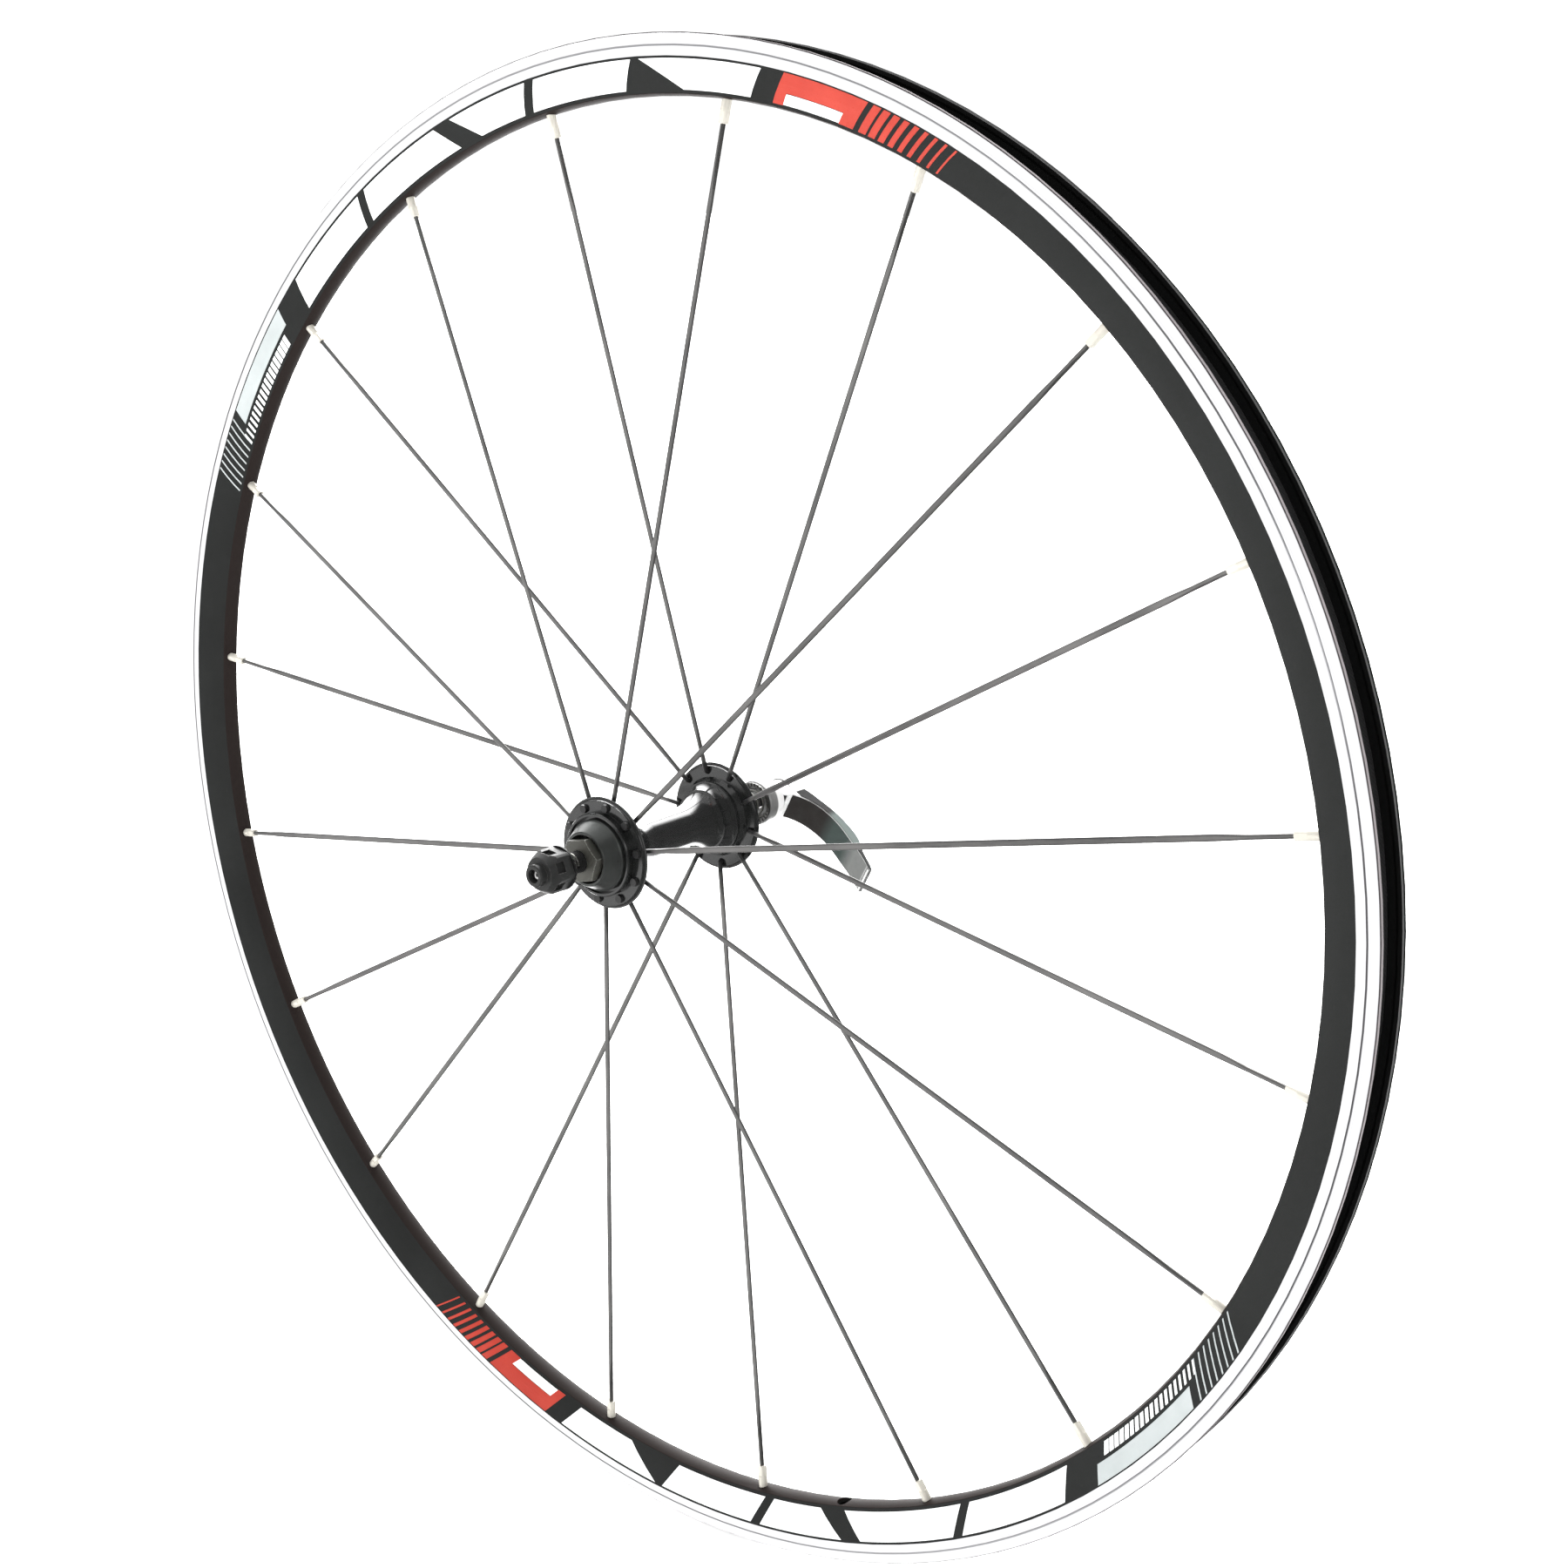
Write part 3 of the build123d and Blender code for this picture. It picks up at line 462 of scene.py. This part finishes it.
def lever_material():
    """Polished head and satin outer face, with painted light: a painted reflection and shade on the inner
    face, a painted shadow strip and a painted green-grey reflection on the flanks.
    """
    g = Graph("polished_lever_with_painted_reflections")
    along = g.dot(g.place, lever_direction)
    across = g.size(g.dot(g.place, hinge_axis))
    rise = g.math("SUBTRACT", g.y, hinge_point.y)
    scuffs = g.noise(160.0, detail=6.0, rough=0.65)
    brush_place = g.vector(g.product(along, 120.0), g.product(g.y, 2600.0), g.product(across, 2600.0))
    brushing = g.noise(1.0, detail=4.0, vector=brush_place)

    outward = facing_outward(g)
    inward = g.above(g.dot(g.facing, -SPIN_AXIS), 0.30, 0.12)
    within_edges = g.below(across, 6.3 * MM, 0.3 * MM)
    within_ends = g.product(g.above(along, 4.6 * MM, 0.4 * MM), g.below(along, 58.5 * MM, MM))
    inside = g.product(inward, within_edges, within_ends)
    flank = g.above(g.size(g.dot(g.facing, hinge_axis)), 0.6, 0.2)
    satin = g.product(flank, g.above(along, 21.0 * MM, MM))
    # Painted shadow: a near-black strip on the flanks between about 6 and 26 mm along the lever.
    shadow_band_length = g.product(g.above(along, 6.0 * MM, MM), g.below(along, 26.5 * MM, 3.0 * MM))
    shadow_band = g.product(flank, shadow_band_length, g.above(rise, 2.0 * MM, 0.6 * MM))
    head = g.below(along, 15.0 * MM, 5.0 * MM)
    near_tip = g.above(along, 45.5 * MM, 3.5 * MM)

    polished = g.mottle(scuffs, (0.72, 0.73, 0.72), (0.86, 0.865, 0.86))
    # Painted reflection on the satin flanks: green-grey, turning to painted shade, near black, towards the
    # tip.
    flank_reflection_and_shade = g.mix(near_tip, (0.115, 0.140, 0.132), (0.016, 0.017, 0.017))
    # Painted reflection and shade on the inner face: the dark hub's reflection near the head, green-grey in
    # the middle, a pale reflection near the tip.
    shadow = g.mix(g.above(along, 24.0 * MM, 6.0 * MM), (0.022, 0.020, 0.019), (0.046, 0.060, 0.056))
    shadow = g.mix(g.above(along, 40.0 * MM, 8.0 * MM), shadow, (0.17, 0.175, 0.17))
    shadow = g.mix(g.ramp(scuffs, 0.45, 0.8, 0.0, 0.25), shadow, (0.05, 0.055, 0.052))
    outer_face = g.mottle(scuffs, (0.15, 0.152, 0.15), (0.22, 0.222, 0.22))
    color = g.mix(satin, polished, flank_reflection_and_shade)
    color = g.mix(inside, color, shadow)
    color = g.mix(shadow_band, color, grey(0.010))
    color = g.mix(outward, color, outer_face)

    dull = g.largest(inside, shadow_band, satin)
    gloss = g.vary(g.average(scuffs, brushing), 0.16, 0.32, spread=0.15)
    sheen = g.blend(outward, g.blend(head, 1.0, 0.25), 0.4)
    return g.finish(color=color, metallic=g.product(g.opposite(dull), sheen),
                    specular=g.blend(dull, 0.5, 0.05), roughness=g.math("ADD", gloss, g.product(dull, 0.34)),
                    normal=g.bump(brushing, 0.003 * MM, strength=0.3, normal=g.soft_edges(SOFT_EDGE)))


dress(cradle_material(), "cam_cradle")
dress(lever_material(), "qr_lever")


# ------------------------------------------------------------ meshes

def new_mesh(name, verts, faces, material, smooth=True):
    mesh = bpy.data.meshes.new(name)
    mesh.from_pydata([tuple(v) for v in verts], [], faces)
    mesh.validate()
    mesh.update()
    for polygon in mesh.polygons:
        polygon.use_smooth = smooth
    mesh.materials.append(material)
    obj = bpy.data.objects.new(name, mesh)
    scene.collection.objects.link(obj)
    bm = bmesh.new()
    bm.from_mesh(mesh)
    bmesh.ops.recalc_face_normals(bm, faces=bm.faces)
    bm.to_mesh(mesh)
    bm.free()
    return obj


def circle(radius, y, segments):
    turns = [2 * math.pi * k / segments for k in range(segments)]
    return [(radius * math.cos(t), y, radius * math.sin(t)) for t in turns]


def tube_faces(rows, segments):
    """Faces between closed rings of points, each ring joined to the next."""
    faces = []
    for i in range(rows - 1):
        for k in range(segments):
            a, b = i * segments + k, i * segments + (k + 1) % segments
            faces.append((a, b, b + segments, a + segments))
    return faces


# ------------------------------------------------------------ threaded bars

# The width of a thread's flat root and of each flank, as shares of its pitch.
ROOT_FLAT = 0.125
FLANK = 0.25
STEPS_PER_THREAD = 8
TINY = 1e-9


def thread_depth(y, t, pitch):
    """How deep a V thread is cut at a place, as a share of its full depth."""
    phase = (y / pitch - t / (2 * math.pi)) % 1.0
    past_root = abs(phase - 0.5) - ROOT_FLAT / 2
    return min(1.0, max(0.0, 1 - past_root / FLANK))


def threaded_bar(name, stretches, crest, root, pitch, bore, ends, material, segments):
    """A round bar along Y with V threads on some stretches, chamfered ends and a bore right through it."""
    low, high = ends
    full_depth = crest - root
    stations = [low]
    while stations[-1] < high - TINY:
        y = stations[-1]
        fine_steps = any(start - TINY <= y < end for start, end in stretches)
        stations.append(min(high, y + (pitch / STEPS_PER_THREAD if fine_steps else pitch * 2)))
    verts = []
    for y in stations:
        threaded = any(start <= y <= end for start, end in stretches)
        end_limit = root + full_depth * min(1.0, min(y - low, high - y) / full_depth)
        for k in range(segments):
            t = 2 * math.pi * k / segments
            cut = full_depth * thread_depth(y, t, pitch) if threaded else 0.0
            radius = min(crest - cut, end_limit)
            verts.append((radius * math.cos(t), y, radius * math.sin(t)))
    verts += circle(bore, high, segments) + circle(bore, low, segments)
    rows = len(stations) + 2
    faces = tube_faces(rows, segments)
    last = (rows - 1) * segments
    faces += [(last + k, last + (k + 1) % segments, (k + 1) % segments, k) for k in range(segments)]
    return new_mesh(name, verts, faces, material)


AXLE_THREAD_START = 36.0 * MM
ROD_THREAD_START = 52.0 * MM
CLOSED_BORE = 0.02 * MM

axle_low, axle_high = (corner.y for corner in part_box("hollow_axle"))
axle = threaded_bar("threaded_hollow_axle", [(axle_low, -AXLE_THREAD_START), (AXLE_THREAD_START, axle_high)],
                    crest=4.5 * MM, root=4.0 * MM, pitch=1.0 * MM, bore=2.8 * MM,
                    ends=(axle_low, axle_high), material=thread_black, segments=40)
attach(axle, "axle")
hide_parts("hollow_axle")

rod_low, rod_high = (corner.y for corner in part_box("skewer_rod"))
rod = threaded_bar("threaded_skewer_rod", [(rod_low, -ROD_THREAD_START)],
                   crest=2.45 * MM, root=2.0 * MM, pitch=0.8 * MM, bore=CLOSED_BORE,
                   ends=(rod_low, rod_high), material=turned_steel, segments=32)
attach(rod, "skewer")
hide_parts("skewer_rod")


# ------------------------------------------------------------ springs

def conical_spring(name, sign, node):
    """A conical coil that replaces a CAD spring, narrow at its foot and wide at its top."""
    foot, top = sorted(abs(corner.y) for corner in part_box(node))
    wire = 0.5 * MM
    small, large = 3.9 * MM, 6.7 * MM
    turns, steps, around = 3.0, 150, 12
    centres = []
    for i in range(steps + 1):
        share = i / steps
        t = 2 * math.pi * turns * share
        rise = foot + wire + (top - foot - 2 * wire) * share
        radius = small + (large - small) * share
        centres.append(Vector((radius * math.cos(t), sign * rise, radius * math.sin(t))))
    verts = []
    for i, centre in enumerate(centres):
        tangent = (centres[min(i + 1, steps)] - centres[max(i - 1, 0)]).normalized()
        outwards = Vector((centre.x, 0, centre.z)).normalized()
        up = tangent.cross(outwards).normalized()
        outwards = up.cross(tangent).normalized()
        for k in range(around):
            a = 2 * math.pi * k / around
            verts.append(centre + wire * (math.cos(a) * outwards + math.sin(a) * up))
    faces = tube_faces(steps + 1, around)
    faces.append(tuple(range(around)))
    faces.append(tuple(range(steps * around, (steps + 1) * around)))
    spring = new_mesh(name, verts, faces, spring_steel)
    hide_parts(node)
    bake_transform(spring)


conical_spring("spring_nut_side", -1, "conical_spring_nut_side")
conical_spring("spring_lever_side", 1, "conical_spring_lever_side")


# ------------------------------------------------------------ decals

DECAL_LIFT = 0.04 * MM
DECAL_HALF_THICKNESS = 0.05 * MM
DECAL_STEP_DEGREES = 0.4
DECAL_ROWS_PER_WALL = 12
SIDEWALL_OUTER_R = RIM_R - 8.55 * MM
SIDEWALL_INNER_R = RIM_R - 21.45 * MM
CLEAR_OF_RIM = 30.0 * MM

# The print is the same on both sides of the rim and repeats half a turn on. Its angles are in degrees from +X
# towards +Z. Its other places are shares of the sidewall, from 0 at the outer edge to 1 at the inner edge.
REPEATS = (0.0, 180.0)
PRINT_TOP = 0.03
PRINT_BOTTOM = 0.93
LEAN = 1.3

# The white blocks: start and end angles on their outer edge, then on their inner edge.
WHITE_BLOCKS = (
    (79.4, 90.6, 80.7, 87.0), (91.4, 101.2, 92.7, 102.5), (102.2, 110.8, 103.5, 108.6),
    (112.8, 122.4, 111.2, 123.7), (123.4, 134.2, 124.7, 135.5),
)
BLOCK_TOP = 0.06
BLOCK_BOTTOM = 0.91

# Leaning bars: vinyl, start and end angle, top and bottom.
LEANING_BARS = (
    ("red", 70.05, 77.35, PRINT_TOP, 0.58), ("red", 70.05, 71.35, 0.58, PRINT_BOTTOM),
    ("white", 71.35, 76.4, 0.60, 0.91), ("red", 76.4, 77.35, 0.58, PRINT_BOTTOM),
    ("panel", 137.8, 149.0, PRINT_TOP, 0.52),
)

# Rows of leaning stripes: vinyl, number, first start angle, pitch, first width, widening, top and bottom.
STRIPES = (
    ("red", 9, 62.35, 0.82, 0.16, 0.062, PRINT_TOP, PRINT_BOTTOM),
    ("white", 19, 138.6, 0.62, 0.50, -0.015, 0.62, PRINT_BOTTOM),
    ("panel", 8, 149.9, 0.72, 0.15, 0.0, PRINT_TOP, PRINT_BOTTOM),
)

rim_mesh = nodes["rim"].data
rim_faces = [tuple(polygon.vertices) for polygon in rim_mesh.polygons]
rim_tree = BVHTree.FromPolygons([vertex.co for vertex in rim_mesh.vertices], rim_faces)


def on_sidewall(sign, degrees, share, lift):
    """A point on the rim's sidewall, at an angle and a share of the wall, lifted off it along its normal."""
    t = math.radians(degrees)
    r = SIDEWALL_OUTER_R + (SIDEWALL_INNER_R - SIDEWALL_OUTER_R) * share
    start = Vector((r * math.cos(t), sign * CLEAR_OF_RIM, r * math.sin(t)))
    hit, normal, _, _ = rim_tree.ray_cast(start, Vector((0, -sign, 0)))
    if normal.y * sign < 0:
        normal = -normal
    return hit + normal * lift


def vinyl(name, color, other):
    g = Graph(name)
    dots = g.noise(2200.0)
    broad = g.noise(60.0, detail=4.0)
    return g.finish(color=g.mottle(broad, color, other), roughness=g.vary(dots, 0.256, 0.40), specular=0.1,
                    normal=g.bump(dots, 0.01 * MM, strength=0.4))


class Decal:
    """Thin printed patches on one side of the rim, gathered into one mesh."""

    def __init__(self, sign):
        self.sign = sign
        self.verts = []
        self.faces = []

    def patch(self, outer, inner, top, bottom):
        """A four-sided patch. outer and inner are its start and end angles on its outer and inner edges."""
        widest = max(outer[1] - outer[0], inner[1] - inner[0])
        columns = max(1, math.ceil(widest / DECAL_STEP_DEGREES))
        rows = max(1, math.ceil((bottom - top) * DECAL_ROWS_PER_WALL))
        first = len(self.verts)
        for lift in (DECAL_LIFT + DECAL_HALF_THICKNESS, DECAL_LIFT - DECAL_HALF_THICKNESS):
            for j in range(rows + 1):
                v = j / rows
                start = outer[0] * (1 - v) + inner[0] * v
                end = outer[1] * (1 - v) + inner[1] * v
                for i in range(columns + 1):
                    u = i / columns
                    degrees = start * (1 - u) + end * u
                    self.verts.append(on_sidewall(self.sign, degrees, top + (bottom - top) * v, lift))
        across = columns + 1
        layer = across * (rows + 1)
        for j in range(rows):
            for i in range(columns):
                a = first + j * across + i
                self.faces.append((a, a + 1, a + across + 1, a + across))
                self.faces.append((a + layer, a + across + layer, a + across + 1 + layer, a + 1 + layer))
        border = [first + i for i in range(columns)]
        border += [first + j * across + columns for j in range(rows)]
        border += [first + rows * across + columns - i for i in range(columns)]
        border += [first + (rows - j) * across for j in range(rows)]
        for a, b in zip(border, border[1:] + border[:1]):
            self.faces.append((b, a, a + layer, b + layer))

    def leaning(self, start, end, top, bottom):
        """A patch whose two ends lean, as the whole print does."""
        at_top = LEAN * (top - PRINT_TOP) / (PRINT_BOTTOM - PRINT_TOP)
        at_bottom = LEAN * (bottom - PRINT_TOP) / (PRINT_BOTTOM - PRINT_TOP)
        self.patch((start + at_top, end + at_top), (start + at_bottom, end + at_bottom), top, bottom)

    def build(self, name, material):
        piece = new_mesh(name, self.verts, self.faces, material, smooth=False)
        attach(piece, "wheel")


def print_side(side_name, sign, vinyls):
    decals = {color: Decal(sign) for color in vinyls}
    for base in REPEATS:
        for color, start, end, top, bottom in LEANING_BARS:
            decals[color].leaning(base + start, base + end, top, bottom)
        for outer_start, outer_end, inner_start, inner_end in WHITE_BLOCKS:
            outer = (base + outer_start, base + outer_end)
            inner = (base + inner_start, base + inner_end)
            decals["white"].patch(outer, inner, BLOCK_TOP, BLOCK_BOTTOM)
        for color, count, first_start, pitch, width, widening, top, bottom in STRIPES:
            for k in range(count):
                start = base + first_start + pitch * k
                decals[color].leaning(start, start + width + widening * k, top, bottom)
    for color, decal in decals.items():
        decal.build(f"decal_{color}_{side_name}", vinyls[color])


VINYLS = {
    "white": vinyl("white_printed_vinyl", (0.86, 0.87, 0.87), (0.93, 0.94, 0.94)),
    "red": vinyl("red_printed_vinyl", (0.36, 0.038, 0.026), (0.42, 0.050, 0.034)),
    "panel": vinyl("pale_grey_printed_vinyl", (0.37, 0.40, 0.40), (0.43, 0.46, 0.46)),
}
for side_name, sign in SIDES:
    print_side(side_name, sign, VINYLS)


# ------------------------------------------------------------ floor

FLOOR_HALF = 30.0
FLOOR_GAP = 0.5 * MM


def pale_floor():
    """A wide pale floor just under the wheel. It glows, so that the shadows on it stay faint."""
    g = Graph("pale_floor")
    material = g.finish(color=g.mix(g.noise(3.0), grey(0.93), grey(0.95)), roughness=0.9, specular=0.2,
                        emission=grey(1.0), emission_strength=0.7)
    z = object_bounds()[0].z - FLOOR_GAP
    corners = [(x * FLOOR_HALF, y * FLOOR_HALF, z) for x, y in ((-1, -1), (1, -1), (1, 1), (-1, 1))]
    floor = new_mesh("floor", corners, [(0, 1, 2, 3)], material, smooth=False)
    floor.visible_glossy = False
    floor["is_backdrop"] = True


pale_floor()


# ------------------------------------------------------------ studio light

# Seen directly and by matt surfaces the studio is an even white. Glossy surfaces see panels on darker walls.
# A panel has a direction, the angles from it at which it starts and is at full strength, and that strength.
PANELS = (
    ((-0.64, -0.72, -0.28), 50.0, 25.0, 1.45),
    ((-0.45, 0.70, 0.55), 40.0, 22.0, 13.0),
    ((-0.75, 0.60, -0.28), 35.0, 15.0, 4.0),
    ((-0.45, 0.72, -0.58), 24.0, 10.0, 4.0),
    ((0.72, -0.62, 0.32), 13.0, 6.0, 2.5),
)
WALL_STRENGTH = 0.20
PLAIN_STRENGTH = 1.1


def studio_world():
    world = bpy.data.worlds.new("studio_white")
    world.use_nodes = True
    tree = world.node_tree

    def combine(operation, *values):
        node = tree.nodes.new("ShaderNodeMath")
        node.operation = operation
        for value, socket in zip(values, node.inputs):
            if isinstance(value, bpy.types.NodeSocket):
                tree.links.new(value, socket)
            else:
                socket.default_value = value
        return node.outputs[0]

    facing = tree.nodes.new("ShaderNodeTexCoord").outputs["Generated"]
    ray = tree.nodes.new("ShaderNodeLightPath").outputs
    glossy = WALL_STRENGTH
    for direction, start, full, strength in PANELS:
        dot = tree.nodes.new("ShaderNodeVectorMath")
        dot.operation = "DOT_PRODUCT"
        tree.links.new(facing, dot.inputs[0])
        dot.inputs[1].default_value = Vector(direction).normalized()
        panel = tree.nodes.new("ShaderNodeMapRange")
        panel.interpolation_type = "SMOOTHSTEP"
        tree.links.new(dot.outputs["Value"], panel.inputs["Value"])
        panel.inputs["From Min"].default_value = math.cos(math.radians(start))
        panel.inputs["From Max"].default_value = math.cos(math.radians(full))
        panel.inputs["To Max"].default_value = strength
        glossy = combine("ADD", panel.outputs[0], glossy)
    plain = combine("MAXIMUM", ray["Is Camera Ray"], ray["Is Diffuse Ray"])
    to_gloss = combine("MULTIPLY", combine("SUBTRACT", 1.0, plain), glossy)
    background = tree.nodes["Background"]
    background.inputs["Color"].default_value = (1.0, 1.0, 1.0, 1.0)
    strength = combine("ADD", combine("MULTIPLY", plain, PLAIN_STRENGTH), to_gloss)
    tree.links.new(strength, background.inputs["Strength"])
    scene.world = world


def softbox(name, place, size, power):
    """A large soft light that looks at the wheel's centre."""
    light = bpy.data.lights.new(name, "AREA")
    light.shape = "RECTANGLE"
    light.size, light.size_y = size
    light.energy = power
    obj = bpy.data.objects.new(name, light)
    obj.location = place
    obj.rotation_euler = (-Vector(place)).to_track_quat("-Z", "Y").to_euler()
    scene.collection.objects.link(obj)


studio_world()
softbox("overhead_softbox", place=(-0.3, -0.6, 2.0), size=(2.4, 2.0), power=16.0)


# ------------------------------------------------------------ camera

# The photo's own view. Both angles are in degrees, with the azimuth round from -Y towards +X.
CAMERA_AZIMUTH = 41.6643
CAMERA_ELEVATION = 16.2566
CAMERA_PLACE = Vector((0.565097, -0.628076, 0.263469))
SENSOR_MM = 36.0
LENS_MM = 48.318
SHIFT_X = 0.070411
SHIFT_Y = 0.006660
CLIP_START = 0.01
CLIP_END = 200.0


def photo_camera():
    azimuth, elevation = math.radians(CAMERA_AZIMUTH), math.radians(CAMERA_ELEVATION)
    level = Vector((math.sin(azimuth), -math.cos(azimuth), 0))
    back = level * math.cos(elevation) + Vector((0, 0, math.sin(elevation)))
    right = Vector((math.cos(azimuth), math.sin(azimuth), 0))
    up = back.cross(right)
    data = bpy.data.cameras.new("camera")
    data.sensor_width = SENSOR_MM
    data.lens = LENS_MM
    data.shift_x = SHIFT_X
    data.shift_y = SHIFT_Y
    data.clip_start = CLIP_START
    data.clip_end = CLIP_END
    camera = bpy.data.objects.new("camera", data)
    camera.matrix_world = Matrix.Translation(CAMERA_PLACE) @ Matrix((right, up, back)).transposed().to_4x4()
    scene.collection.objects.link(camera)
    scene.camera = camera


photo_camera()
scene.view_settings.view_transform = "Standard"
